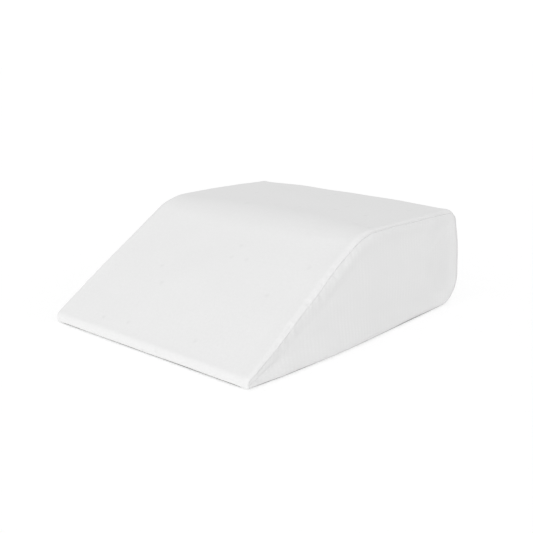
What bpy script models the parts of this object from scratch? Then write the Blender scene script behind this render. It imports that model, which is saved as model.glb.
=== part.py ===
"""Leg-rest wedge pillow: a foam wedge in a sewn knit cover, lying on its flat base.

One long panel of cloth wraps the foam from the thin front edge over the slope, the knee bend and the top,
down the back and under the base. A shaped panel closes each side and is sewn to it all the way round.
Units are metres. The width runs along X, the thin edge faces -Y, and Z is up from the surface it lies on.
"""

import math

import bmesh
import bpy
from mathutils import Vector

# From the thin edge to the back, overall
DEPTH = 0.6075

# The width between the two corners of the thin edge, where the cover is tightest. Behind them the seams stand out a
# little, as the table of the edge gives, most beside the base. The middle of each side panel stands out by
# SIDE_STANDS_OUT from SIDE_RISE onwards.
NOSE_WIDTH = 0.511
SIDE_STANDS_OUT = 0.0080
SIDE_RISE = 0.14

# The side outline, corner by corner, from the floor under the thin edge up the slope, over the top and round the back.
# y is measured from the thin edge. The first set of y, z and radius holds at the side seams, where the cover draws the
# foam in, and the second across the middle of the pillow. Each corner's arc has arc_steps, and run_steps divide the
# straight that follows it, which bows outwards by bow_seam or bow_middle.
OUTLINE_COLUMNS = (
    "corner", "y_seam", "z_seam", "radius_seam", "y_middle", "z_middle", "radius_middle",
    "arc_steps", "run_steps", "bow_seam", "bow_middle",
)
OUTLINE = (
    ("under_nose", 0.0030, 0.0000, 0.005, 0.0000, 0.0000, 0.007, 2, 2, 0.0000, 0.0000),
    ("nose", 0.0030, 0.0175, 0.011, 0.0000, 0.0192, 0.014, 4, 12, 0.0028, 0.0040),
    ("knee", 0.2966, 0.1986, 0.114, 0.2966, 0.2037, 0.183, 8, 9, 0.0012, 0.0020),
    ("top_back", 0.5912, 0.1895, 0.029, 0.5935, 0.1938, 0.032, 6, 8, 0.0036, 0.0068),
    ("bottom_back", 0.6080, 0.0000, 0.058, 0.6080, 0.0000, 0.040, 7, 30, 0.0000, 0.0000),
)

# How squarely a bowed straight swells: 1 is an arch, and 2 swells only at its middle
BOW_POWER = 1.3

# How the edge between the wrap panel and a side panel is rounded, where on that rounding the seam lies, and how far
# the edge stands out beside the corners of the thin edge, at places along the outline: 0 is the middle of the nose,
# 0.5 the middle of the back, and it runs over the top. A seam angle of 0 is level with the wrap panel, and 90 is on
# the face of the side panel.
EDGE_COLUMNS = ("place", "edge_radius", "seam_angle", "stands_out")
EDGE = (
    (0.000, 0.0050, 66.0, 0.0000),
    (0.020, 0.0065, 64.0, 0.0015),
    (0.070, 0.0120, 58.0, 0.0035),
    (0.130, 0.0165, 51.0, 0.0036),
    (0.190, 0.0185, 46.0, 0.0036),
    (0.240, 0.0170, 44.0, 0.0030),
    (0.300, 0.0130, 44.0, 0.0030),
    (0.400, 0.0100, 42.0, 0.0020),
    (0.450, 0.0090, 42.0, 0.0010),
    (0.500, 0.0130, 45.0, 0.0003),
    (0.560, 0.0110, 48.0, -0.0003),
    (0.620, 0.0090, 48.0, -0.0003),
    (0.850, 0.0065, 50.0, 0.0117),
    (0.930, 0.0060, 56.0, 0.0075),
    (0.980, 0.0055, 62.0, 0.0015),
    (1.000, 0.0050, 66.0, 0.0000),
)
FULL_EDGE_RADIUS = 0.012

# The seam wanders a little along the edge, as a hand-guided one does
SEAM_WANDER = 0.0007
WANDERS_ROUND = 9

# Rows of points beside the seam: how far each lies from it over the surface, and how deep the stitching draws it in
SEAM_COLUMNS = ("distance", "dip")
SEAM_ROWS = ((0.0000, 0.0022), (0.0022, 0.0006), (0.0050, 0.0000), (0.0090, 0.0000))

# Rows across half of the wrap panel, as shares of the way from the middle to the rows beside the seam. The crown
# falls away towards the seam with this power of the share.
WRAP_ROWS = (0.0, 0.2, 0.4, 0.58, 0.74, 0.87, 0.95)
CROWN_POWER = 2.4

# Rows across a side panel, as shares of the way from the rows beside its seam to its middle line
SIDE_ROWS = (0.12, 0.3, 0.6, 1.0)

# Inside the seam the cushion and a side panel meet over a hidden face. It steps in beside the seam, runs to a plane
# at this depth inside the width, and goes on to the middle line in shares of the way. The gap parts the two.
MEETING_STEP_IN = 0.004
MEETING_STEP_ACROSS = 0.0025
MEETING_DEPTH = 0.014
MEETING_SHARES = (0.3, 1.0)
MEETING_GAP = 0.0004

# The middle line of a side panel, at half its height: it starts and ends this far from the thin edge and the back
MIDLINE_FROM_NOSE = 0.018
MIDLINE_FROM_BACK = 0.085
MIDLINE_TOP = 0.098

MERGE_DISTANCE = 0.00001

WRAP_COLOUR = (0.74, 0.74, 0.74, 1.0)
SIDE_COLOUR = (0.72, 0.72, 0.72, 1.0)
KNIT_ROUGHNESS = 0.9


def rows_of(table, columns):
    """The table's rows, each as a dictionary by column name."""
    return [dict(zip(columns, row)) for row in table]


def rounded_corner(before, corner, after, radius, steps):
    """Points of the arc that rounds a corner, from the straight before it to the one after it."""
    to_before = (before - corner).normalized()
    to_after = (after - corner).normalized()
    half_angle = to_before.angle(to_after) / 2
    centre = corner + (to_before + to_after).normalized() * radius / math.sin(half_angle)
    first = corner + to_before * radius / math.tan(half_angle) - centre
    last = corner + to_after * radius / math.tan(half_angle) - centre
    turn = first.angle_signed(last)
    arc = []
    for step in range(steps + 1):
        angle = -turn * step / steps
        cos, sin = math.cos(angle), math.sin(angle)
        arc.append(centre + Vector((first.x * cos - first.y * sin, first.x * sin + first.y * cos)))
    return arc


def bowed_run(start, end, steps, bow):
    """Points between two arcs, swelling outwards by bow at the middle and meeting both ends almost straight on."""
    along = end - start
    outward = Vector((-along.y, along.x)).normalized()
    run = []
    for step in range(1, steps):
        share = step / steps
        run.append(start + along * share + outward * bow * math.sin(math.pi * share) ** BOW_POWER)
    return run


def side_outline(place):
    """The closed outline as (y, z) points from the middle of the nose, over the top and back along the base."""
    rows = rows_of(OUTLINE, OUTLINE_COLUMNS)
    corners = [Vector((row["y_" + place] - DEPTH / 2, row["z_" + place])) for row in rows]
    arcs = []
    for index, row in enumerate(rows):
        before, after = corners[index - 1], corners[(index + 1) % len(rows)]
        arcs.append(rounded_corner(before, corners[index], after, row["radius_" + place], row["arc_steps"]))
    points = []
    for index, row in enumerate(rows):
        next_arc = arcs[(index + 1) % len(rows)]
        points += arcs[index]
        points += bowed_run(arcs[index][-1], next_arc[0], row["run_steps"], row["bow_" + place])
    nose_middle = rows[0]["arc_steps"] + rows[0]["run_steps"] // 2
    return points[nose_middle:] + points[:nose_middle]


def outward_normals(points):
    """A unit vector that points out of the outline at each of its points."""
    normals = []
    for index in range(len(points)):
        along = points[(index + 1) % len(points)] - points[index - 1]
        normals.append(Vector((-along.y, along.x)).normalized())
    return normals


def eased(share):
    """A share from 0 to 1 that starts and ends gently."""
    return share * share * (3 - 2 * share)


def edge_at(column, place):
    """A column's value in the edge's table at a place along the outline, from 0 to 1."""
    rows = rows_of(EDGE, EDGE_COLUMNS)
    for row, following in zip(rows, rows[1:]):
        if place <= following["place"]:
            share = eased((place - row["place"]) / (following["place"] - row["place"]))
            return row[column] + share * (following[column] - row[column])
    return rows[-1][column]


SEAM_OUTLINE = side_outline("seam")
SEAM_NORMALS = outward_normals(SEAM_OUTLINE)
MIDDLE_OUTLINE = side_outline("middle")
POINTS_ROUND = len(SEAM_OUTLINE)


def places_round(points):
    """How far along the outline each point lies, as a share of its length."""
    lengths = [(points[(i + 1) % len(points)] - points[i]).length for i in range(len(points))]
    places = [0.0]
    for length in lengths[:-1]:
        places.append(places[-1] + length / sum(lengths))
    return places


PLACES = places_round(SEAM_OUTLINE)


def midline_point(index):
    """The point of the side panel's middle line between the outline's point and the one that faces it below or above.

    Where that would lie past an end of the middle line, it is the end, from which the points fan out.
    """
    between = (SEAM_OUTLINE[index].x + SEAM_OUTLINE[-index].x) / 2
    y = min(max(between, MIDLINE_FROM_NOSE - DEPTH / 2), DEPTH / 2 - MIDLINE_FROM_BACK)
    nose, knee = rows_of(OUTLINE, OUTLINE_COLUMNS)[1:3]
    steepness = (knee["z_seam"] - nose["z_seam"]) / (knee["y_seam"] - nose["y_seam"])
    slope_height = nose["z_seam"] + steepness * (y + DEPTH / 2 - nose["y_seam"])
    return Vector((y, min(slope_height / 2, MIDLINE_TOP)))


def half_width(index):
    """How far the rounded edge reaches from the middle of the pillow at the outline's point."""
    return NOSE_WIDTH / 2 + edge_at("stands_out", PLACES[index])


def edge_size(index):
    """The edge's radius at the outline's point as a share of the full one. The seam's rows shrink with it."""
    return min(1.0, edge_at("edge_radius", PLACES[index]) / FULL_EDGE_RADIUS)


def edge_point(index, from_seam, dip):
    """A point on the rounded edge of the right-hand side, from_seam past the seam, drawn in by dip.

    It is found along the surface: first over the wrap panel, then round the edge, then on the side panel's face.
    """
    radius = edge_at("edge_radius", PLACES[index])
    size = edge_size(index)
    wander = SEAM_WANDER * size * math.sin(math.tau * WANDERS_ROUND * PLACES[index])
    travel = radius * math.radians(edge_at("seam_angle", PLACES[index])) + wander + from_seam * size
    quarter = radius * math.pi / 2
    angle = min(max(travel, 0.0), quarter) / radius
    across = half_width(index) - radius + radius * math.sin(angle) + min(travel, 0.0)
    inset = radius * (1 - math.cos(angle)) + max(travel - quarter, 0.0)
    across -= dip * size * math.sin(angle)
    inset += dip * size * math.cos(angle)
    to_midline = (midline_point(index) - SEAM_OUTLINE[index]).normalized()
    inward = (-SEAM_NORMALS[index]).lerp(to_midline, 1 - size)
    return across, SEAM_OUTLINE[index] + inward * inset


def placed(across, point):
    return Vector((across, point.x, point.y))


def seam_rows(sides):
    """Rings of points beside the seam, on the wrap panel's side (-1) or the side panel's side (1), seam first."""
    rings = []
    for row in rows_of(SEAM_ROWS, SEAM_COLUMNS):
        ring = [edge_point(i, sides * row["distance"], row["dip"]) for i in range(POINTS_ROUND)]
        rings.append([placed(across, point) for across, point in ring])
    return rings


def meeting_rows(gap):
    """Rings of the hidden face from the seam in to the middle line, moved outwards along X by gap."""
    depth = SEAM_ROWS[0][1]
    first = []
    step = []
    for index in range(POINTS_ROUND):
        size = edge_size(index)
        across, point = edge_point(index, 0.0, depth)
        first.append(placed(across + gap, point))
        inner = point + (midline_point(index) - point).normalized() * MEETING_STEP_IN * size
        step.append(placed(across - MEETING_STEP_ACROSS * size + gap, inner))
    rings = [first, step]
    for share in MEETING_SHARES:
        ring = []
        for index in range(POINTS_ROUND):
            start = Vector(step[index].yz)
            point = start.lerp(midline_point(index), share)
            ring.append(placed(NOSE_WIDTH / 2 - MEETING_DEPTH + gap, point))
        rings.append(ring)
    return rings


def wrap_rows(outermost):
    """Rings of the wrap panel from the middle of the pillow out to the ring beside the seam."""
    rings = []
    for share in WRAP_ROWS:
        drawn_in = share**CROWN_POWER
        ring = []
        for index in range(POINTS_ROUND):
            point = MIDDLE_OUTLINE[index].lerp(Vector(outermost[index].yz), drawn_in)
            ring.append(placed(outermost[index].x * share, point))
        rings.append(ring)
    return rings


def midline_half_width(point):
    """How far the side panel's middle line stands from the middle of the pillow at a point of it."""
    from_nose = point.x + DEPTH / 2 - MIDLINE_FROM_NOSE
    return NOSE_WIDTH / 2 + SIDE_STANDS_OUT * eased(min(1.0, from_nose / SIDE_RISE))


def side_rows(innermost):
    """Rings of a side panel's crowned face from the ring beside its seam in to its middle line."""
    rings = []
    for share in SIDE_ROWS:
        risen = 1 - (1 - share) ** 2
        ring = []
        for index in range(POINTS_ROUND):
            start = innermost[index]
            middle = midline_point(index)
            across = start.x + (midline_half_width(middle) - start.x) * risen
            ring.append(placed(across, Vector(start.yz).lerp(middle, share)))
        rings.append(ring)
    return rings


def lofted_mesh(name, rings, closed_ends):
    """A mesh that joins each ring to the next. A closed end's ring lies on a line, where its two halves are merged.

    Splitting each face at its shorter diagonal gives the two sides of a hidden meeting face the same facets.
    """
    mesh = bmesh.new()
    made = [[mesh.verts.new(point) for point in ring] for ring in rings]
    for ring, following in zip(made, made[1:]):
        for index in range(POINTS_ROUND):
            beside = (index + 1) % POINTS_ROUND
            mesh.faces.new((ring[index], ring[beside], following[beside], following[index]))
    for end in closed_ends:
        bmesh.ops.remove_doubles(mesh, verts=made[end], dist=MERGE_DISTANCE)
    bmesh.ops.triangulate(mesh, faces=mesh.faces, quad_method="SHORT_EDGE")
    bmesh.ops.recalc_face_normals(mesh, faces=mesh.faces)
    data = bpy.data.meshes.new(name)
    mesh.to_mesh(data)
    mesh.free()
    data.shade_smooth()
    return data


def knit_material(name, colour):
    """Matt white knitted cloth."""
    material = bpy.data.materials.new(name)
    material.use_nodes = True
    shader = material.node_tree.nodes["Principled BSDF"]
    shader.inputs["Base Color"].default_value = colour
    shader.inputs["Roughness"].default_value = KNIT_ROUGHNESS
    shader.inputs["Metallic"].default_value = 0.0
    material.diffuse_color = colour
    return material


def add_object(name, data, material, collection):
    made = bpy.data.objects.new(name, data)
    data.materials.append(material)
    collection.objects.link(made)
    return made


def build_cushion_body(collection, material):
    """The filled cushion inside its wrap panel: half is lofted from the middle to the right-hand seam and mirrored."""
    beside_seam = seam_rows(-1)
    rings = wrap_rows(beside_seam[-1]) + beside_seam[::-1] + meeting_rows(0.0)[1:]
    data = lofted_mesh("cushion_body", rings, closed_ends=(-1,))
    body = add_object("cushion_body", data, material, collection)
    mirror = body.modifiers.new("other half", "MIRROR")
    mirror.use_axis = (True, False, False)
    mirror.merge_threshold = MERGE_DISTANCE
    return body


def build_side_panel(collection, material, name, side):
    """A crowned side panel: its hidden inner face, its edge beside the seam and its face, on one side (1 or -1)."""
    beside_seam = seam_rows(1)
    inner = meeting_rows(MEETING_GAP)
    rings = inner[::-1] + beside_seam[1:] + side_rows(beside_seam[-1])
    for ring in rings:
        for point in ring:
            point.x *= side
    data = lofted_mesh(name, rings, closed_ends=(0, -1))
    return add_object(name, data, material, collection)


def main():
    for old in list(bpy.data.objects):
        bpy.data.objects.remove(old)
    pillow = bpy.data.collections.new("wedge_pillow")
    bpy.context.scene.collection.children.link(pillow)
    wrap_knit = knit_material("wrap_knit", WRAP_COLOUR)
    side_knit = knit_material("side_knit", SIDE_COLOUR)
    build_cushion_body(pillow, wrap_knit)
    build_side_panel(pillow, side_knit, "side_panel_right", 1)
    build_side_panel(pillow, side_knit, "side_panel_left", -1)


main()
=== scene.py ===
import math

import bmesh
import bpy
import numpy as np
from mathutils import Matrix, Vector
from mathutils.geometry import convex_hull_2d


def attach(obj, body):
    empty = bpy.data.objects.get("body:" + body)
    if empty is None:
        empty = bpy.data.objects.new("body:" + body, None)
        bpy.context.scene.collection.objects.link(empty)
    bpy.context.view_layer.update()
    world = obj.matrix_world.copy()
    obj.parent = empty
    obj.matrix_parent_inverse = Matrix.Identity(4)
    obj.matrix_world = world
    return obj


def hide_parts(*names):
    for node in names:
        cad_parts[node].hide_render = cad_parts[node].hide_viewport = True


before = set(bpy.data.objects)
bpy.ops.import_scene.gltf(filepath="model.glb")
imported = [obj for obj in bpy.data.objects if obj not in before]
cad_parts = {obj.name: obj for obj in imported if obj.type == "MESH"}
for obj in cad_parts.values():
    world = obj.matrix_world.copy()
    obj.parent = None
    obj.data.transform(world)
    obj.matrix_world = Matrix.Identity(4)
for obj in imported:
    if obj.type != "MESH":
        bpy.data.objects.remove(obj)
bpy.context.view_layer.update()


# The wrap panel
# One long strip of smooth white polyester jersey, brushed on its face, that runs over the nose, the slope, the knee
# and the top, down the back and under the base, where its ends meet in a plain seam low on the back. It is drawn
# over a hot-wire-cut block of soft polyurethane foam, which rounds its edges and swells it between the side seams.

DEPTH = 0.6075
NOSE_WIDTH = 0.511

# Each corner of the outline at the side seams, where the cover draws the foam in, and across the middle of the
# pillow: y from the thin edge, z, the radius that rounds it, and how far the straight after it bows outwards.
SEAM_CORNERS = (
    {"corner": "under nose", "y": 0.0030, "z": 0.0000, "radius": 0.005, "bow": 0.0000},
    {"corner": "nose", "y": 0.0030, "z": 0.0175, "radius": 0.011, "bow": 0.0028},
    {"corner": "knee", "y": 0.2966, "z": 0.1986, "radius": 0.114, "bow": 0.0012},
    {"corner": "top back", "y": 0.5912, "z": 0.1895, "radius": 0.029, "bow": 0.0036},
    {"corner": "bottom back", "y": 0.6080, "z": 0.0000, "radius": 0.058, "bow": 0.0000},
)
MIDDLE_CORNERS = (
    {"corner": "under nose", "y": 0.0000, "z": 0.0000, "radius": 0.007, "bow": 0.0000},
    {"corner": "nose", "y": 0.0000, "z": 0.0192, "radius": 0.014, "bow": 0.0040},
    {"corner": "knee", "y": 0.2966, "z": 0.2037, "radius": 0.183, "bow": 0.0020},
    {"corner": "top back", "y": 0.5935, "z": 0.1938, "radius": 0.032, "bow": 0.0068},
    {"corner": "bottom back", "y": 0.6080, "z": 0.0000, "radius": 0.040, "bow": 0.0000},
)
BOW_POWER = 1.3
STEPS_EACH = 60


def unit(vector):
    return vector / np.linalg.norm(vector)


def corner_arc(before, corner, after, radius):
    """The arc that rounds a corner of the outline, turning clockwise as the outline does."""
    to_before, to_after = unit(before - corner), unit(after - corner)
    half_angle = math.acos(np.dot(to_before, to_after)) / 2
    middle = unit(to_before + to_after)
    centre = corner + middle * radius / math.sin(half_angle)
    swing = math.pi / 2 - half_angle
    angles = math.atan2(-middle[1], -middle[0]) + np.linspace(swing, -swing, STEPS_EACH)
    return centre + radius * np.stack((np.cos(angles), np.sin(angles)), axis=1)


def bowed_straight(start, end, bow):
    """The points between two arcs, which swell outwards by bow at the middle."""
    along = end - start
    outward = unit(np.array((-along[1], along[0])))
    share = np.linspace(0, 1, STEPS_EACH + 2)[1:-1, None]
    return start + along * share + outward * bow * np.sin(math.pi * share) ** BOW_POWER


def foam_outline(corners):
    """The closed outline in y and z, from the middle of the nose over the top and back along the base."""
    points = [np.array((row["y"] - DEPTH / 2, row["z"])) for row in corners]
    arcs = []
    for index, row in enumerate(corners):
        following = points[(index + 1) % len(points)]
        arcs.append(corner_arc(points[index - 1], points[index], following, row["radius"]))
    runs = []
    for index, row in enumerate(corners):
        next_arc = arcs[(index + 1) % len(arcs)]
        runs += [arcs[index], bowed_straight(arcs[index][-1], next_arc[0], row["bow"])]
    line = np.roll(np.concatenate(runs), -STEPS_EACH * 3 // 2, axis=0)
    return np.concatenate((line, line[:1]))


seam_loop = foam_outline(SEAM_CORNERS)
middle_loop = foam_outline(MIDDLE_CORNERS)
loop_lengths = np.concatenate(((0,), np.cumsum(np.linalg.norm(np.diff(seam_loop, axis=0), axis=1))))
SEAM_LENGTH = loop_lengths[-1]

# The cover is one net of points. Its columns lie at places from 0 at the middle of the nose to 1 there again, and
# they are closer together where the cloth turns tightly or is sewn. The same holds at the facing place, 1 less this.
COLUMNS = 640
CLOSING_SEAM_PLACE = 0.535
CLOSER_COLUMNS = (
    {"place": 0.000, "reach": 0.012, "closer": 1.8},
    {"place": CLOSING_SEAM_PLACE, "reach": 0.006, "closer": 2.6},
    {"place": 1.000, "reach": 0.012, "closer": 1.8},
)
COLUMN_TRIALS = 4000


def column_places():
    """The places of the columns, from how close together they should be all the way round."""
    trial = np.linspace(0, 1, COLUMN_TRIALS + 1)
    density = np.ones_like(trial)
    for row in CLOSER_COLUMNS:
        for centre in (row["place"], 1 - row["place"]):
            density += row["closer"] / 2 * np.exp(-(((trial - centre) / row["reach"]) ** 2))
    counted = np.concatenate(((0,), np.cumsum((density[1:] + density[:-1]) / 2)))
    return np.interp(np.arange(COLUMNS) / COLUMNS * counted[-1], counted, trial)


place = column_places()
along_seam = place * SEAM_LENGTH
at_seam = np.stack([np.interp(along_seam, loop_lengths, seam_loop[:, axis]) for axis in (0, 1)], axis=1)
at_middle = np.stack([np.interp(along_seam, loop_lengths, middle_loop[:, axis]) for axis in (0, 1)], axis=1)
tangent = np.roll(at_seam, -1, axis=0) - np.roll(at_seam, 1, axis=0)
tangent /= np.linalg.norm(tangent, axis=1, keepdims=True)
outward = np.stack((-tangent[:, 1], tangent[:, 0]), axis=1)

# The rounded edge along the side seams: its radius, where on the rounding the seam lies (0 is level with the wrap
# panel and 90 on the face of the side panel), and how far the edge stands out beside the corners of the nose.
# The crown is how squarely the cloth keeps its height towards the edge before it falls to it.
EDGE = (
    {"place": 0.000, "radius": 0.0060, "angle": 66.0, "stands_out": 0.0000, "crown": 9.0},
    {"place": 0.020, "radius": 0.0065, "angle": 74.0, "stands_out": 0.0020, "crown": 8.0},
    {"place": 0.070, "radius": 0.0110, "angle": 72.0, "stands_out": 0.0035, "crown": 3.5},
    {"place": 0.130, "radius": 0.0155, "angle": 56.0, "stands_out": 0.0036, "crown": 2.4},
    {"place": 0.190, "radius": 0.0185, "angle": 46.0, "stands_out": 0.0036, "crown": 2.4},
    {"place": 0.240, "radius": 0.0170, "angle": 47.0, "stands_out": 0.0030, "crown": 2.4},
    {"place": 0.300, "radius": 0.0130, "angle": 56.0, "stands_out": 0.0030, "crown": 2.4},
    {"place": 0.390, "radius": 0.0115, "angle": 62.0, "stands_out": 0.0012, "crown": 4.0},
    {"place": 0.435, "radius": 0.0165, "angle": 58.0, "stands_out": -0.0008, "crown": 4.5},
    {"place": 0.500, "radius": 0.0150, "angle": 50.0, "stands_out": 0.0000, "crown": 3.5},
    {"place": 0.560, "radius": 0.0125, "angle": 48.0, "stands_out": -0.0003, "crown": 2.4},
    {"place": 0.620, "radius": 0.0110, "angle": 48.0, "stands_out": -0.0003, "crown": 2.4},
    {"place": 0.850, "radius": 0.0095, "angle": 50.0, "stands_out": 0.0117, "crown": 2.4},
    {"place": 0.930, "radius": 0.0085, "angle": 56.0, "stands_out": 0.0075, "crown": 3.5},
    {"place": 0.980, "radius": 0.0070, "angle": 62.0, "stands_out": 0.0015, "crown": 8.0},
    {"place": 1.000, "radius": 0.0060, "angle": 66.0, "stands_out": 0.0000, "crown": 9.0},
)
FULL_EDGE_RADIUS = 0.012
SEAM_WANDER = 0.0007
WANDERS_ROUND = 9
CROWN_FALL = 1.25

# Rows of the net beside the seam, as distances from it, and the numbers of rows across half of the wrap panel and
# from the seam rows to the middle line of a side panel. All three counts are even.
SEAM_ROWS = (0.0007, 0.0014, 0.0022, 0.0032, 0.0044, 0.0058, 0.0074, 0.0094, 0.0120, 0.0150)
WRAP_ROWS = 48
SIDE_ROWS = 16

# The side panels bulge, most along a line at half their height, which ends short of the nose and the back
SIDE_STANDS_OUT = 0.0070
SIDE_RISE = 0.14
MIDLINE_FROM_NOSE = 0.018
MIDLINE_FROM_BACK = 0.150
MIDLINE_TOP = 0.098


def eased(share):
    """A share from 0 to 1 that starts and ends gently."""
    return share * share * (3 - 2 * share)


def round_the_edge(table, column):
    """A column of a table at every place of the net, eased between its rows."""
    places = np.array([row["place"] for row in table])
    values = np.array([row[column] for row in table])
    row = np.clip(np.searchsorted(places, place, side="right") - 1, 0, len(table) - 2)
    share = (place - places[row]) / (places[row + 1] - places[row])
    return values[row] + eased(share) * (values[row + 1] - values[row])


edge_radius = round_the_edge(EDGE, "radius")
seam_angle = np.radians(round_the_edge(EDGE, "angle"))
edge_reach = NOSE_WIDTH / 2 + round_the_edge(EDGE, "stands_out")
crown_power = round_the_edge(EDGE, "crown")
edge_size = np.minimum(1, edge_radius / FULL_EDGE_RADIUS)
seam_wander = SEAM_WANDER * edge_size * np.sin(math.tau * WANDERS_ROUND * place)

# Past the ends of a side panel's middle line the net fans out from the end point
facing = np.roll(at_seam[::-1], 1, axis=0)
midline_y = np.clip(
    (at_seam[:, 0] + facing[:, 0]) / 2, MIDLINE_FROM_NOSE - DEPTH / 2, DEPTH / 2 - MIDLINE_FROM_BACK
)
nose_row, knee_row = SEAM_CORNERS[1:3]
slope_height = np.interp(
    midline_y + DEPTH / 2, (nose_row["y"], knee_row["y"]), (nose_row["z"], knee_row["z"])
)
midline = np.stack((midline_y, np.minimum(slope_height / 2, MIDLINE_TOP)), axis=1)
past_nose = midline_y + DEPTH / 2 - MIDLINE_FROM_NOSE
midline_reach = NOSE_WIDTH / 2 + SIDE_STANDS_OUT * eased(np.minimum(1, past_nose / SIDE_RISE))
to_midline = midline - at_seam
side_room = np.linalg.norm(to_midline, axis=1)
to_midline /= side_room[:, None]
inward = -outward * edge_size[:, None] + to_midline * (1 - edge_size[:, None])


def edge_row(from_seam):
    """The net's row at a distance from the seam: over the wrap panel (less than 0) or the side panel (more)."""
    travel = edge_radius * seam_angle + seam_wander + from_seam * edge_size
    quarter = edge_radius * math.pi / 2
    angle = np.clip(travel, 0, quarter) / edge_radius
    across = edge_reach - edge_radius * (1 - np.sin(angle)) + np.minimum(travel, 0)
    inset = edge_radius * (1 - np.cos(angle)) + np.maximum(travel - quarter, 0)
    return np.column_stack((across, at_seam + inward * inset[:, None]))


def half_cover():
    """The rows of the right-hand half, from the middle of the pillow to the middle line of the side panel."""
    distances = [-d for d in SEAM_ROWS[::-1]] + [0] + list(SEAM_ROWS)
    edge_rows = [edge_row(d) for d in distances]
    wrap_end, side_start = edge_rows[0], edge_rows[-1]
    rows = []
    for share in np.arange(WRAP_ROWS) / WRAP_ROWS:
        crown = (1 - share**crown_power) ** CROWN_FALL
        profile = wrap_end[:, 1:] + (at_middle - wrap_end[:, 1:]) * crown[:, None]
        rows.append(np.column_stack((wrap_end[:, 0] * share, profile)))
    rows += edge_rows
    for share in (np.arange(SIDE_ROWS) + 1) / SIDE_ROWS:
        across = side_start[:, 0] + (midline_reach - side_start[:, 0]) * eased(share)
        profile = side_start[:, 1:] + (midline - side_start[:, 1:]) * share
        rows.append(np.column_stack((across, profile)))
    return np.array(rows)


right_half = half_cover()
cover = np.concatenate((right_half[:0:-1] * (-1, 1, 1), right_half))
MIDDLE_ROW = len(cover) // 2
SEAM_ROW = WRAP_ROWS + len(SEAM_ROWS)
LEFT_SEAM, RIGHT_SEAM = MIDDLE_ROW - SEAM_ROW, MIDDLE_ROW + SEAM_ROW

# How the foam fills the cover: the net is simulated as cloth that is held at its seams, with a light pressure
# inside. No point may move further than the cap, because firm foam gives little.
FILL_PRESSURE = 3.0
FILL_FRAMES = 16
FILL_CAP = 0.0022
FILL_REACHES_FULL = 0.035
FILL_STIFFNESS = 15.0


def filled(net):
    """How far each point of every second row and column moves when the cover is filled."""
    coarse = net[::2, ::2]
    rows, columns = coarse.shape[:2]
    number = np.arange(rows * columns).reshape(rows, columns)
    points = coarse.reshape(-1, 3)
    for row in (0, rows - 1):
        ends = np.round(points[number[row]], 5)
        same = np.unique(ends, axis=0, return_inverse=True)[1].ravel()
        first = np.array([np.flatnonzero(same == group)[0] for group in same])
        number[row] = number[row][first]
    beside = np.roll(number, -1, axis=1)
    quads = np.stack((number[:-1], beside[:-1], beside[1:], number[1:]), axis=-1).reshape(-1, 4)
    mesh = bpy.data.meshes.new("filling")
    kept, renumbered = np.unique(quads, return_inverse=True)
    faces = renumbered.reshape(-1, 4)
    mesh.from_pydata(points[kept].tolist(), [], [list(dict.fromkeys(face)) for face in faces.tolist()])
    mesh.update()
    bag = bpy.data.objects.new("filling", mesh)
    bpy.context.scene.collection.objects.link(bag)
    held = bag.vertex_groups.new(name="held")
    seam_numbers = number[[MIDDLE_ROW // 2 - SEAM_ROW // 2, MIDDLE_ROW // 2 + SEAM_ROW // 2]].ravel()
    held.add(np.searchsorted(kept, seam_numbers).tolist(), 1.0, "REPLACE")
    cloth = bag.modifiers.new("filling", "CLOTH")
    cloth.settings.use_pressure = True
    cloth.settings.uniform_pressure_force = FILL_PRESSURE
    cloth.settings.tension_stiffness = FILL_STIFFNESS
    cloth.settings.compression_stiffness = FILL_STIFFNESS
    cloth.settings.effector_weights.gravity = 0
    cloth.settings.vertex_group_mass = "held"
    cloth.point_cache.frame_start = 1
    cloth.point_cache.frame_end = FILL_FRAMES
    for step in range(1, FILL_FRAMES + 1):
        bpy.context.scene.frame_set(step)
    shown = bag.evaluated_get(bpy.context.evaluated_depsgraph_get())
    after = np.empty(len(kept) * 3)
    shown.data.vertices.foreach_get("co", after)
    moved = np.zeros_like(points)
    moved[kept] = after.reshape(-1, 3) - points[kept]
    bpy.data.objects.remove(bag)
    bpy.context.scene.frame_set(1)
    return moved[number]


def between_points(coarse):
    """The coarse net's values at every point of the fine net."""
    rows, columns = coarse.shape[:2]
    fine = np.empty((rows * 2 - 1, columns * 2, 3))
    fine[::2, ::2] = coarse
    fine[::2, 1::2] = (coarse + np.roll(coarse, -1, axis=1)) / 2
    fine[1::2] = (fine[:-2:2] + fine[2::2]) / 2
    return fine


def over_cloth(net):
    """The distance over the cloth from the middle row to every point of the net, less than 0 to the left."""
    steps = np.linalg.norm(np.diff(net, axis=0), axis=-1)
    across = np.concatenate((np.zeros((1, COLUMNS)), np.cumsum(steps, axis=0)))
    return across - across[len(net) // 2]


def from_seams(net):
    """The distance over the cloth from every point of the net to the nearest side seam."""
    across = over_cloth(net)
    return np.minimum(np.abs(across - across[LEFT_SEAM]), np.abs(across - across[RIGHT_SEAM]))


swelling = between_points(filled(cover))
reach = np.linalg.norm(swelling, axis=-1, keepdims=True)
full = eased(np.minimum(1, from_seams(cover) / FILL_REACHES_FULL))
cover = cover + swelling * full[..., None] * FILL_CAP / (FILL_CAP + reach)

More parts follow.
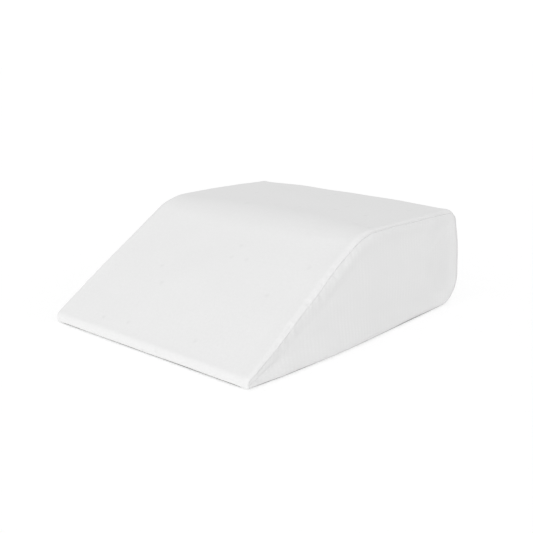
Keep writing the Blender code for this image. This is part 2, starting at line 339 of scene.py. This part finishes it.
# How the cloth lies beside the side seams, as shares of the sizes below. On the slope the seam allowances turn
# towards the side panel and raise a broad puckered bead on it, on the top only a narrow ridge beside the seam
# shows, and the base lies flat.
SEWING = (
    {"place": 0.00, "groove": 0.6, "wrap_bead": 0.3, "spread": 0.6, "panel_bead": 0.2, "hollow": 0.0, "puckers": 0.3},
    {"place": 0.03, "groove": 0.4, "wrap_bead": 0.7, "spread": 0.8, "panel_bead": 0.1, "hollow": 0.0, "puckers": 0.7},
    {"place": 0.08, "groove": 0.2, "wrap_bead": 1.0, "spread": 1.0, "panel_bead": 0.2, "hollow": 0.4, "puckers": 1.1},
    {"place": 0.13, "groove": 0.2, "wrap_bead": 1.0, "spread": 1.1, "panel_bead": 0.6, "hollow": 0.5, "puckers": 1.2},
    {"place": 0.17, "groove": 0.3, "wrap_bead": 1.0, "spread": 1.0, "panel_bead": 1.0, "hollow": 0.5, "puckers": 1.0},
    {"place": 0.20, "groove": 0.6, "wrap_bead": 1.0, "spread": 0.9, "panel_bead": 1.0, "hollow": 0.5, "puckers": 0.8},
    {"place": 0.24, "groove": 0.8, "wrap_bead": 0.9, "spread": 0.8, "panel_bead": 0.8, "hollow": 0.5, "puckers": 0.6},
    {"place": 0.28, "groove": 0.6, "wrap_bead": 1.5, "spread": 0.6, "panel_bead": 0.0, "hollow": 0.5, "puckers": 0.3},
    {"place": 0.41, "groove": 0.5, "wrap_bead": 1.5, "spread": 0.6, "panel_bead": 0.0, "hollow": 0.5, "puckers": 0.3},
    {"place": 0.47, "groove": 0.6, "wrap_bead": 0.6, "spread": 0.8, "panel_bead": 0.2, "hollow": 0.1, "puckers": 0.4},
    {"place": 0.54, "groove": 0.8, "wrap_bead": 0.5, "spread": 0.8, "panel_bead": 0.3, "hollow": 0.0, "puckers": 0.4},
    {"place": 0.60, "groove": 0.6, "wrap_bead": 0.2, "spread": 0.6, "panel_bead": 0.1, "hollow": 0.0, "puckers": 0.1},
    {"place": 0.96, "groove": 0.6, "wrap_bead": 0.2, "spread": 0.6, "panel_bead": 0.1, "hollow": 0.0, "puckers": 0.1},
    {"place": 1.00, "groove": 0.6, "wrap_bead": 0.3, "spread": 0.6, "panel_bead": 0.2, "hollow": 0.0, "puckers": 0.3},
)
GROOVE_DEPTH = 0.0013
GROOVE_WIDTH = 0.0011
GROOVE_POWER = 1.5
WRAP_BEAD_HEIGHT = 0.0010
WRAP_BEAD_FROM_SEAM = 0.0040
WRAP_BEAD_WIDTH = 0.0032
PANEL_BEAD_HEIGHT = 0.0014
PANEL_BEAD_PEAK = 0.0080
PANEL_BEAD_FALL = 0.0120
PANEL_BEAD_ROOM = 0.034
HOLLOW_DEPTH = 0.0012
HOLLOW_FROM_BEAD = 0.009
HOLLOW_WIDTH = 0.010
PUCKER_PITCH = 0.0090
PUCKER_HEIGHT = 0.0010
PUCKERS_START = 0.003
WRAP_PUCKER_REACH = 0.0080
PANEL_PUCKER_REACH = 0.0100
SMALL_PUCKERS = 0.5
PUCKER_SEED = 11


def gathers(pitch, seed):
    """Heights from -1 to 1 along the seam, one for about each pitch, joined smoothly and closed to a loop."""
    count = round(SEAM_LENGTH / pitch)
    heights = np.random.RandomState(seed).uniform(-1, 1, count)
    stations = place * count
    first = stations.astype(int) % count
    share = eased(stations % 1)
    return heights[first] * (1 - share) + heights[(first + 1) % count] * share


sewing = {column: round_the_edge(SEWING, column) for column in SEWING[0] if column != "place"}
panel_scale = np.minimum(1, side_room / PANEL_BEAD_ROOM) * edge_size


def wrap_side(beside, seed):
    """How high the cloth of the wrap panel stands at a distance beside a seam."""
    spread = sewing["spread"]
    bead = np.exp(-(((beside - WRAP_BEAD_FROM_SEAM * spread) / (WRAP_BEAD_WIDTH * spread)) ** 2))
    lumps = gathers(PUCKER_PITCH, seed) + SMALL_PUCKERS * gathers(PUCKER_PITCH / 2, seed + 1)
    lumps = lumps * np.exp(-((beside / WRAP_PUCKER_REACH) ** 2)) * eased(np.minimum(1, beside / PUCKERS_START))
    return sewing["wrap_bead"] * WRAP_BEAD_HEIGHT * bead + sewing["puckers"] * PUCKER_HEIGHT * lumps


def panel_side(beside, seed):
    """How high the cloth of the side panel stands at a distance beside a seam."""
    beside = beside * edge_size / panel_scale
    rise = np.sin(math.pi / 2 * np.minimum(1, beside / PANEL_BEAD_PEAK))
    fall = 1 - eased(np.clip((beside - PANEL_BEAD_PEAK) / PANEL_BEAD_FALL, 0, 1))
    lumps = gathers(PUCKER_PITCH, seed + 2) + SMALL_PUCKERS * gathers(PUCKER_PITCH / 2, seed + 3)
    past_bead = beside - PANEL_BEAD_PEAK * sewing["panel_bead"] - HOLLOW_FROM_BEAD
    hollow = rise * np.exp(-((past_bead / HOLLOW_WIDTH) ** 2))
    lumps = lumps * np.exp(-((beside / PANEL_PUCKER_REACH) ** 2)) * eased(np.minimum(1, beside / PUCKERS_START))
    bead = sewing["panel_bead"] * PANEL_BEAD_HEIGHT * rise * fall
    height = bead + sewing["puckers"] * PUCKER_HEIGHT * lumps - sewing["hollow"] * HOLLOW_DEPTH * hollow
    return height * panel_scale / edge_size


def seam_relief(distance, seed):
    """How high the cloth stands beside one seam. The distance is less than 0 on the wrap panel."""
    beside = np.abs(distance) / edge_size
    groove = -GROOVE_DEPTH * sewing["groove"] * np.exp(-((beside / GROOVE_WIDTH) ** GROOVE_POWER))
    return (groove + np.where(distance < 0, wrap_side(beside, seed), panel_side(beside, seed))) * edge_size


# The seam that closes the strip, low on the back: a groove with a soft bead and puckers above and below it
CLOSING_GROOVE_DEPTH = 0.0010
CLOSING_BEAD_HEIGHT = 0.0006
CLOSING_PUCKER_HEIGHT = 0.0007
CLOSING_PUCKER_PITCH = 0.016
CLOSING_REACH = 0.008
CLOSING_SEED = 41

# The cloth lies in low waves over the foam. They are a sum of even waves of random direction.
WAVE_HEIGHT = 0.0003
WAVE_COUNT = 22
WAVES_ROUND = (3, 16)
WAVES_PER_METRE = 9.0
WAVE_SEED = 5


def closing_relief(across):
    """How high the cloth stands beside the closing seam, at distances over the cloth from the middle row."""
    beside = np.abs(along_seam - CLOSING_SEAM_PLACE * SEAM_LENGTH)
    groove = -CLOSING_GROOVE_DEPTH * np.exp(-((beside / GROOVE_WIDTH) ** GROOVE_POWER))
    bead = CLOSING_BEAD_HEIGHT * np.exp(-(((beside - WRAP_BEAD_FROM_SEAM) / WRAP_BEAD_WIDTH) ** 2))
    count = math.ceil(NOSE_WIDTH / CLOSING_PUCKER_PITCH) + 2
    heights = np.random.RandomState(CLOSING_SEED).uniform(-1, 1, count)
    lumps = np.interp(across / CLOSING_PUCKER_PITCH + count / 2, np.arange(count), heights)
    puckers = CLOSING_PUCKER_HEIGHT * lumps * np.exp(-((beside / CLOSING_REACH) ** 2))
    return groove + bead + puckers * eased(np.minimum(1, beside / PUCKERS_START))


def low_waves(across):
    """The height of the low waves at distances over the cloth from the middle row."""
    random = np.random.RandomState(WAVE_SEED)
    total = np.zeros_like(across)
    for _ in range(WAVE_COUNT):
        round_it = random.randint(*WAVES_ROUND) * math.tau * place
        total += np.sin(round_it + random.uniform(-1, 1) * math.tau * WAVES_PER_METRE * across + random.uniform(0, math.tau))
    return WAVE_HEIGHT * total / math.sqrt(WAVE_COUNT / 2)


def net_normals(net):
    """A unit vector out of the cover at every point of the net."""
    along = np.roll(net, -1, axis=1) - np.roll(net, 1, axis=1)
    across = np.gradient(net, axis=0)
    normals = np.cross(along, across)
    lengths = np.linalg.norm(normals, axis=-1, keepdims=True)
    return normals / np.maximum(lengths, 1e-12)


across_cloth = over_cloth(cover)
beside_seams = from_seams(cover)
on_wrap = np.zeros(len(cover), bool)
on_wrap[LEFT_SEAM:RIGHT_SEAM + 1] = True
signed = np.where(on_wrap[:, None], -beside_seams, beside_seams)
relief = np.concatenate(
    (seam_relief(signed[:MIDDLE_ROW], PUCKER_SEED), seam_relief(signed[MIDDLE_ROW:], PUCKER_SEED + 4))
)
off_seams = eased(np.minimum(1, beside_seams / WRAP_PUCKER_REACH))
relief += np.where(on_wrap[:, None], closing_relief(across_cloth) * off_seams, 0)
to_side_middle = np.clip(1 - beside_seams / side_room, 0, 1)
relief += low_waves(across_cloth) * off_seams * np.where(on_wrap[:, None], 1, to_side_middle)
cover = cover + net_normals(cover) * relief[..., None]
cover[..., 2] = np.maximum(cover[..., 2], 0)


def piece_mesh(name, net, cloth, merged_rows):
    """A closed mesh from rows of points, with its UV map in metres of cloth. Merged rows lie on a line."""
    rows, columns = net.shape[:2]
    number = np.arange(rows * columns).reshape(rows, columns)
    beside = np.roll(number, -1, axis=1)
    quads = np.stack((number[:-1], beside[:-1], beside[1:], number[1:]), axis=-1).reshape(-1, 4)
    corners = np.stack((cloth[:-1, :-1], cloth[:-1, 1:], cloth[1:, 1:], cloth[1:, :-1]), axis=2).reshape(-1, 2)
    data = bpy.data.meshes.new(name)
    data.from_pydata(net.reshape(-1, 3).tolist(), [], quads.tolist())
    data.uv_layers.new(name="cloth").uv.foreach_set("vector", corners.ravel())
    mesh = bmesh.new()
    mesh.from_mesh(data)
    mesh.verts.ensure_lookup_table()
    merged = [mesh.verts[index] for row in merged_rows for index in number[row]]
    bmesh.ops.remove_doubles(mesh, verts=merged, dist=0.00001)
    bmesh.ops.recalc_face_normals(mesh, faces=mesh.faces)
    mesh.to_mesh(data)
    mesh.free()
    data.shade_smooth()
    return data


# Inside a seam each piece is closed by a hidden face, which steps in from the groove and runs to the middle line
HIDDEN_STEP_IN = 0.004
HIDDEN_STEP_ACROSS = 0.0025
HIDDEN_DEPTH = 0.014
HIDDEN_HALFWAY = 0.3
SEAM_GAP = 0.0003


def hidden_rows(groove_row, side, gap):
    """Rows from the groove in to the middle line, for the right (1) or left (-1) seam."""
    profile = groove_row[:, 1:]
    inner = midline - profile
    inner /= np.linalg.norm(inner, axis=1, keepdims=True)
    stepped = profile + inner * (HIDDEN_STEP_IN * edge_size)[:, None]
    step_across = groove_row[:, 0] - side * HIDDEN_STEP_ACROSS * edge_size + gap * side
    plane = np.full(COLUMNS, side * (NOSE_WIDTH / 2 - HIDDEN_DEPTH + gap))
    halfway = stepped + (midline - stepped) * HIDDEN_HALFWAY
    rows = [np.column_stack((step_across, stepped))]
    rows += [np.column_stack((plane, halfway)), np.column_stack((plane, midline))]
    return np.array(rows)


def with_first_again(rows):
    """Rows of values with their first column repeated at the end, for the last faces of a loop."""
    return np.concatenate((rows, rows[:, :1]), axis=1)


def wrap_cloth(net):
    """Where each point lies on the flat cloth: along the outline, and across from the middle row."""
    along = np.broadcast_to(np.append(along_seam, SEAM_LENGTH), (len(net), COLUMNS + 1))
    return np.stack((along, with_first_again(over_cloth(net))), axis=-1)


wrap_net = np.concatenate(
    (
        hidden_rows(cover[LEFT_SEAM], -1, 0)[::-1],
        cover[LEFT_SEAM:RIGHT_SEAM + 1],
        hidden_rows(cover[RIGHT_SEAM], 1, 0),
    )
)
wrap_panel = bpy.data.objects.new("wrap_panel", piece_mesh("wrap_panel", wrap_net, wrap_cloth(wrap_net), (0, -1)))
bpy.context.scene.collection.objects.link(wrap_panel)

# Brushed polyester jersey: matt, with a faint bloom at grazing angles. Its wales, the columns of knitted stitches,
# are really 0.9 mm apart, and are drawn four times as coarse so that a faint grain shows. The brushed nap clouds it
# softly, and a few faint dimples of 12 mm, one in about 80 mm, are left where the pins of the frame held the cloth.
# Each dimple is also painted a little darker, as painted shade in its hollow.
WRAP_WHITE = "#E3E3E3"
WRAP_SHADE = "#DFDFDF"
# Colour of the painted shade inside the dimples
DIMPLE_PAINTED_SHADE = "#DCDCDC"
WALE_PITCH = 0.0036
WALE_HEIGHT = 0.00005
NAP_SIZE = 0.006
NAP_HEIGHT = 0.00025
DIMPLE_CELL = 0.034
DIMPLE_RADIUS = 0.0075
DIMPLE_DEPTH = 0.00012
DIMPLE_SHARE = 0.20

# Blender's wave texture draws one wave in this share of its unit
WAVE_TEXTURE_PERIOD = math.pi / 10


def linear(hex_colour):
    """An sRGB colour such as "#F2F0EC" as linear red, green, blue and alpha."""
    channels = [int(hex_colour[start:start + 2], 16) / 255 for start in (1, 3, 5)]
    return tuple(c / 12.92 if c <= 0.04045 else ((c + 0.055) / 1.055) ** 2.4 for c in channels) + (1.0,)


def add_node(material, kind, settings, inputs):
    """Add a shader node with its settings. Each input, by name or number, gets a value or another node's output."""
    node = material.node_tree.nodes.new(kind)
    for name, value in settings.items():
        setattr(node, name, value)
    for name, value in inputs.items():
        if isinstance(value, bpy.types.NodeSocket):
            material.node_tree.links.new(value, node.inputs[name])
        else:
            node.inputs[name].default_value = value
    return node


def matt_material(name, hex_colour, roughness):
    """A material with nothing but a plain matt shader, and that shader."""
    material = bpy.data.materials.new(name)
    material.use_nodes = True
    shader = material.node_tree.nodes["Principled BSDF"]
    shader.inputs["Base Color"].default_value = linear(hex_colour)
    shader.inputs["Roughness"].default_value = roughness
    shader.inputs["IOR"].default_value = 1.5
    return material, shader


def brushed_jersey():
    """The wrap panel's cloth."""
    material, shader = matt_material("brushed_polyester_jersey", WRAP_WHITE, 0.92)
    shader.inputs["Sheen Weight"].default_value = 0.15
    shader.inputs["Sheen Roughness"].default_value = 0.5
    cloth = add_node(material, "ShaderNodeUVMap", {"uv_map": "cloth"}, {}).outputs["UV"]
    nap = add_node(
        material, "ShaderNodeTexNoise", {"noise_dimensions": "2D"},
        {"Vector": cloth, "Scale": 1 / NAP_SIZE, "Detail": 3.0, "Roughness": 0.55},
    ).outputs[0]
    wales = add_node(
        material, "ShaderNodeTexWave", {"bands_direction": "Y"},
        {"Vector": cloth, "Scale": WAVE_TEXTURE_PERIOD / WALE_PITCH, "Distortion": 0.6, "Detail": 1.0},
    ).outputs["Fac"]
    cells = add_node(
        material, "ShaderNodeTexVoronoi", {"voronoi_dimensions": "2D"},
        {"Vector": cloth, "Scale": 1 / DIMPLE_CELL, "Randomness": 0.9},
    ).outputs
    chosen = add_node(
        material, "ShaderNodeMath", {"operation": "LESS_THAN"}, {0: cells["Color"], 1: DIMPLE_SHARE}
    ).outputs[0]
    dimples = add_node(
        material, "ShaderNodeMapRange", {"interpolation_type": "SMOOTHSTEP"},
        {"Value": cells["Distance"], "From Min": 0.0, "From Max": DIMPLE_RADIUS / DIMPLE_CELL, "To Min": chosen, "To Max": 0.0},
    ).outputs[0]
    clouded = add_node(
        material, "ShaderNodeMix", {"data_type": "RGBA"},
        {0: nap, 6: linear(WRAP_SHADE), 7: linear(WRAP_WHITE)},
    ).outputs[2]
    # Painted shade: the hollows of the dimples are painted a little darker
    shaded_dimples = add_node(
        material, "ShaderNodeMix", {"data_type": "RGBA"}, {0: dimples, 6: clouded, 7: linear(DIMPLE_PAINTED_SHADE)}
    ).outputs[2]
    material.node_tree.links.new(shaded_dimples, shader.inputs["Base Color"])
    normal = add_node(
        material, "ShaderNodeBump", {}, {"Distance": NAP_HEIGHT, "Height": nap}
    ).outputs[0]
    normal = add_node(
        material, "ShaderNodeBump", {}, {"Distance": WALE_HEIGHT, "Height": wales, "Normal": normal}
    ).outputs[0]
    normal = add_node(
        material, "ShaderNodeBump", {"invert": True}, {"Distance": DIMPLE_DEPTH, "Height": dimples, "Normal": normal}
    ).outputs[0]
    material.node_tree.links.new(normal, shader.inputs["Normal"])
    return material


wrap_panel.data.materials.append(brushed_jersey())
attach(wrap_panel, "root")
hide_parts("cushion_body")


# The side panels
# Two shaped pieces of a finely ribbed white knit, one for each side, sewn to the wrap panel all the way round. The
# foam behind them pushes them out a little, most at their middle.

# Ribbed polyester knit: matt, with upright ribs of staggered tuck stitches that look like fine rows of dots. The
# real ribs are about 3 mm apart, and are drawn coarser because they show only as faint streaks and dots. The pull
# of the foam flattens them in patches. The colour follows the relief and is painted a little darker where it is
# low: painted shade in the hollows between ribs and tucks.
SIDE_WHITE = "#E1E1E1"
# Colour of the painted shade where the rib relief is low
RIB_HOLLOW_PAINTED_SHADE = "#DEDEDE"
RIB_PITCH = 0.0087
RIB_HEIGHT = 0.00007
TUCK_PITCH = 0.0046
TUCK_SHARE = 0.6
PATCH_SIZE = 0.045
LEAST_RIB = 0.25


def ribbed_knit():
    """The side panels' cloth."""
    material, shader = matt_material("ribbed_polyester_knit", SIDE_WHITE, 0.95)
    cloth = add_node(material, "ShaderNodeUVMap", {"uv_map": "cloth"}, {}).outputs["UV"]
    axes = add_node(material, "ShaderNodeSeparateXYZ", {}, {0: cloth}).outputs
    rib = add_node(material, "ShaderNodeMath", {"operation": "DIVIDE"}, {0: axes["X"], 1: RIB_PITCH}).outputs[0]
    rib_turn = add_node(material, "ShaderNodeMath", {"operation": "MULTIPLY"}, {0: rib, 1: math.tau}).outputs[0]
    rib_wave = add_node(material, "ShaderNodeMath", {"operation": "COSINE"}, {0: rib_turn}).outputs[0]
    ridge = add_node(
        material, "ShaderNodeMath", {"operation": "MULTIPLY_ADD"}, {0: rib_wave, 1: -0.5, 2: 0.5}
    ).outputs[0]
    whole_rib = add_node(material, "ShaderNodeMath", {"operation": "FLOOR"}, {0: rib}).outputs[0]
    stagger = add_node(
        material, "ShaderNodeMath", {"operation": "MULTIPLY"}, {0: whole_rib, 1: math.pi}
    ).outputs[0]
    tuck_turn = add_node(
        material, "ShaderNodeMath", {"operation": "MULTIPLY_ADD"},
        {0: axes["Y"], 1: math.tau / TUCK_PITCH, 2: stagger},
    ).outputs[0]
    tuck_wave = add_node(material, "ShaderNodeMath", {"operation": "SINE"}, {0: tuck_turn}).outputs[0]
    tuck = add_node(
        material, "ShaderNodeMath", {"operation": "MULTIPLY_ADD"},
        {0: tuck_wave, 1: TUCK_SHARE / 2, 2: 1 - TUCK_SHARE / 2},
    ).outputs[0]
    patches = add_node(
        material, "ShaderNodeTexNoise", {"noise_dimensions": "2D"},
        {"Vector": cloth, "Scale": 1 / PATCH_SIZE, "Detail": 1.0},
    ).outputs[0]
    strength = add_node(
        material, "ShaderNodeMapRange", {},
        {"Value": patches, "From Min": 0.35, "From Max": 0.65, "To Min": LEAST_RIB, "To Max": 1.0},
    ).outputs[0]
    relief = add_node(material, "ShaderNodeMath", {"operation": "MULTIPLY"}, {0: ridge, 1: tuck}).outputs[0]
    relief = add_node(material, "ShaderNodeMath", {"operation": "MULTIPLY"}, {0: relief, 1: strength}).outputs[0]
    # Painted shade: the colour follows the relief, darker where it is low
    colour = add_node(
        material, "ShaderNodeMix", {"data_type": "RGBA"}, {0: relief, 6: linear(RIB_HOLLOW_PAINTED_SHADE), 7: linear(SIDE_WHITE)}
    ).outputs[2]
    normal = add_node(material, "ShaderNodeBump", {}, {"Distance": RIB_HEIGHT, "Height": relief}).outputs[0]
    material.node_tree.links.new(colour, shader.inputs["Base Color"])
    material.node_tree.links.new(normal, shader.inputs["Normal"])
    return material


ribbed = ribbed_knit()
for name, side in (("side_panel_right", 1), ("side_panel_left", -1)):
    panel_rows = cover[RIGHT_SEAM:] if side == 1 else cover[LEFT_SEAM::-1]
    panel_rows = panel_rows.copy()
    panel_rows[0, :, 0] += side * SEAM_GAP
    side_net = np.concatenate((hidden_rows(cover[MIDDLE_ROW + side * SEAM_ROW], side, SEAM_GAP)[::-1], panel_rows))
    side_cloth = with_first_again(side_net[..., 1:])
    panel = bpy.data.objects.new("cover_" + name, piece_mesh("cover_" + name, side_net, side_cloth, (0, -1)))
    bpy.context.scene.collection.objects.link(panel)
    panel.data.materials.append(ribbed)
    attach(panel, "root")
    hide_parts(name)


# The seam thread
# White spun polyester thread. The panels are sewn face to face, about 12 stitches to the inch, and turned, so only
# short bars of thread cross the bottom of each groove where the foam pulls the seam open.

THREAD_WHITE = "#E2E2E2"
STITCH_PITCH = 0.003
STITCH_LENGTH = 0.0018
STITCH_SLANT = 0.0005
THREAD_RADIUS = 0.00022
THREAD_LIFT = 0.0001
THREAD_SIDES = 6
STITCH_RINGS = ((-0.5, 0.55), (-0.3, 1.0), (0.3, 1.0), (0.5, 0.55))


def stitch_line(points, across, normals, pitch):
    """The corners and faces of the bars of thread along a line of points."""
    steps = np.linalg.norm(np.diff(points, axis=0), axis=1)
    travelled = np.concatenate(((0,), np.cumsum(steps)))
    stations = np.arange(pitch / 2, travelled[-1], pitch)
    at, over, up = (
        np.stack([np.interp(stations, travelled, line[:, axis]) for axis in range(3)], axis=1)
        for line in (points, across, normals)
    )
    forward = np.cross(up, over)
    turn = math.tau * np.arange(THREAD_SIDES) / THREAD_SIDES
    rings = []
    for along, size in STITCH_RINGS:
        centre = at + up * THREAD_LIFT + over * along * STITCH_LENGTH + forward * along * STITCH_SLANT
        circle = up[:, None] * np.cos(turn)[:, None] + forward[:, None] * np.sin(turn)[:, None]
        rings.append(centre[:, None] + circle * THREAD_RADIUS * size)
    corners = np.stack(rings, axis=1)
    number = np.arange(corners[..., 0].size).reshape(corners.shape[:3])
    beside = np.roll(number, -1, axis=2)
    walls = np.stack((number[:, :-1], beside[:, :-1], beside[:, 1:], number[:, 1:]), axis=-1).reshape(-1, 4)
    ends = np.concatenate((number[:, 0, ::-1], number[:, -1]))
    return corners.reshape(-1, 3), walls.tolist() + ends.tolist()


def spun_thread():
    """Spun polyester thread: slightly glossy, with a fine twist of 0.5 mm."""
    material, shader = matt_material("spun_polyester_thread", THREAD_WHITE, 0.6)
    around = add_node(material, "ShaderNodeTexCoord", {}, {}).outputs["Object"]
    twist = add_node(
        material, "ShaderNodeTexWave", {"bands_direction": "DIAGONAL"},
        {"Vector": around, "Scale": WAVE_TEXTURE_PERIOD / 0.0005},
    ).outputs["Fac"]
    normal = add_node(material, "ShaderNodeBump", {}, {"Distance": 0.00003, "Height": twist}).outputs[0]
    material.node_tree.links.new(normal, shader.inputs["Normal"])
    return material


thread = spun_thread()
cover_normals = net_normals(cover)
closing_column = int(np.argmin(np.abs(place - CLOSING_SEAM_PLACE)))
seam_lines = []
for name, row in (("seam_thread_right", RIGHT_SEAM), ("seam_thread_left", LEFT_SEAM)):
    across = cover[row + 1] - cover[row - 1]
    seam_lines.append((name, cover[row], across, cover_normals[row]))
back_rows = slice(LEFT_SEAM + 1, RIGHT_SEAM)
across = cover[back_rows, closing_column + 1] - cover[back_rows, closing_column - 1]
seam_lines.append(("seam_thread_back", cover[back_rows, closing_column], across, cover_normals[back_rows, closing_column]))
for name, points, across, normals in seam_lines:
    across = across / np.linalg.norm(across, axis=1, keepdims=True)
    corners, faces = stitch_line(points, across, normals, STITCH_PITCH)
    data = bpy.data.meshes.new(name)
    data.from_pydata(corners.tolist(), [], faces)
    data.shade_smooth()
    data.materials.append(thread)
    stitches = bpy.data.objects.new(name, data)
    bpy.context.scene.collection.objects.link(stitches)
    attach(stitches, "root")


# The floor and the backdrop
# A plain white studio floor, with a white backdrop round it that only shows and doesn't light the pillow. A thin
# grey sheet, a little smaller than the pillow's outline, lies under it as painted contact shadow and keeps the line
# of contact dark.

STUDIO_WHITE = "#F2F2F2"
# Grey of the sheet of painted contact shadow under the pillow
PAINTED_CONTACT_SHADOW_GREY = "#B0B0B0"
FLOOR_RADIUS = 8.0
FLOOR_LIGHT = 0.165
BACKDROP_HEIGHT = 6.0
BACKDROP_LIGHT = 1.0
CONTACT_SHADOW_SHEET_HEIGHT = 0.0003
CONTACT_SHADOW_FROM_EDGE = 0.0042
CONTACT_SHADOW_UNDER = 0.004


def studio_white(name, own_light):
    """Matt white paint, lifted by own_light so that it photographs as plain white."""
    material, shader = matt_material(name, STUDIO_WHITE, 1.0)
    shader.inputs["Specular IOR Level"].default_value = 0.0
    shader.inputs["Emission Color"].default_value = (1, 1, 1, 1)
    shader.inputs["Emission Strength"].default_value = own_light
    return material


bpy.ops.mesh.primitive_circle_add(vertices=96, radius=FLOOR_RADIUS, fill_type="NGON")
floor = bpy.context.object
floor.name = "floor"
floor.data.materials.append(studio_white("studio_floor", FLOOR_LIGHT))
bpy.ops.mesh.primitive_cylinder_add(
    vertices=96, radius=FLOOR_RADIUS, depth=BACKDROP_HEIGHT, end_fill_type="NOTHING",
    location=(0, 0, BACKDROP_HEIGHT / 2),
)
backdrop = bpy.context.object
backdrop.name = "backdrop"
backdrop.data.materials.append(studio_white("studio_backdrop", BACKDROP_LIGHT))
backdrop.visible_diffuse = False
backdrop.visible_glossy = False
backdrop.visible_shadow = False

# Painted contact shadow: a grey sheet under the pillow's bottom edge, where only shade falls
low_points = cover[cover[..., 2] < CONTACT_SHADOW_UNDER][:, :2]
low_points = [tuple(point) for point in (low_points - np.sign(low_points) * CONTACT_SHADOW_FROM_EDGE).tolist()]
contact_shadow_outline = [low_points[index] for index in convex_hull_2d(low_points)]
contact_shadow_sheet_data = bpy.data.meshes.new("contact_shadow_sheet")
contact_shadow_sheet_data.from_pydata([(x, y, CONTACT_SHADOW_SHEET_HEIGHT) for x, y in contact_shadow_outline], [], [range(len(contact_shadow_outline))])
contact_shadow_sheet_data.materials.append(matt_material("painted_contact_shadow_grey", PAINTED_CONTACT_SHADOW_GREY, 1.0)[0])
contact_shadow_sheet = bpy.data.objects.new("contact_shadow_sheet", contact_shadow_sheet_data)
bpy.context.scene.collection.objects.link(contact_shadow_sheet)


# The light
# Even light from all round, and one large soft light in front, to the right and above. It casts no shadow, because
# the photograph's floor shows none but the thin dark line of contact.

WORLD_LIGHT = 0.765
KEY_FROM = Vector((0.378, -0.794, 0.476))
KEY_POWER = 1.206
KEY_ANGLE = 25

world = bpy.data.worlds.new("studio")
world.use_nodes = True
world.node_tree.nodes["Background"].inputs["Color"].default_value = (1, 1, 1, 1)
world.node_tree.nodes["Background"].inputs["Strength"].default_value = WORLD_LIGHT
bpy.context.scene.world = world

key = bpy.data.objects.new("key_light", bpy.data.lights.new("key_light", "SUN"))
key.data.energy = KEY_POWER
key.data.angle = math.radians(KEY_ANGLE)
key.data.use_shadow = False
key.rotation_euler = KEY_FROM.to_track_quat("Z", "Y").to_euler()
bpy.context.scene.collection.objects.link(key)

bpy.context.scene.view_settings.view_transform = "Standard"
bpy.context.scene.view_settings.look = "None"


# The camera
# It stands in front of the thin edge, to the right of it, and looks a little down on the pillow.

CAMERA_AZIMUTH = math.radians(43.72)
CAMERA_HEIGHT_ANGLE = math.radians(15.76)
CAMERA_ROLL = math.radians(-1.27)
CAMERA_DISTANCE = 1.8561
CAMERA_TO_RIGHT = 0.0107
CAMERA_UP = 0.0860
CAMERA_LENS = 64.26

towards_camera = Vector(
    (
        math.sin(CAMERA_AZIMUTH) * math.cos(CAMERA_HEIGHT_ANGLE),
        -math.cos(CAMERA_AZIMUTH) * math.cos(CAMERA_HEIGHT_ANGLE),
        math.sin(CAMERA_HEIGHT_ANGLE),
    )
)
camera_right = Vector((math.cos(CAMERA_AZIMUTH), math.sin(CAMERA_AZIMUTH), 0))
camera_up = towards_camera.cross(camera_right)
camera = bpy.data.objects.new("camera", bpy.data.cameras.new("camera"))
camera.data.lens = CAMERA_LENS
camera.data.sensor_width = 36
camera_place = towards_camera * CAMERA_DISTANCE + camera_right * CAMERA_TO_RIGHT + camera_up * CAMERA_UP
turned = Matrix((camera_right, camera_up, towards_camera)).transposed().to_4x4()
rolled = Matrix.Rotation(CAMERA_ROLL, 4, "Z")
camera.matrix_world = Matrix.Translation(camera_place) @ turned @ rolled
bpy.context.scene.collection.objects.link(camera)
bpy.context.scene.camera = camera
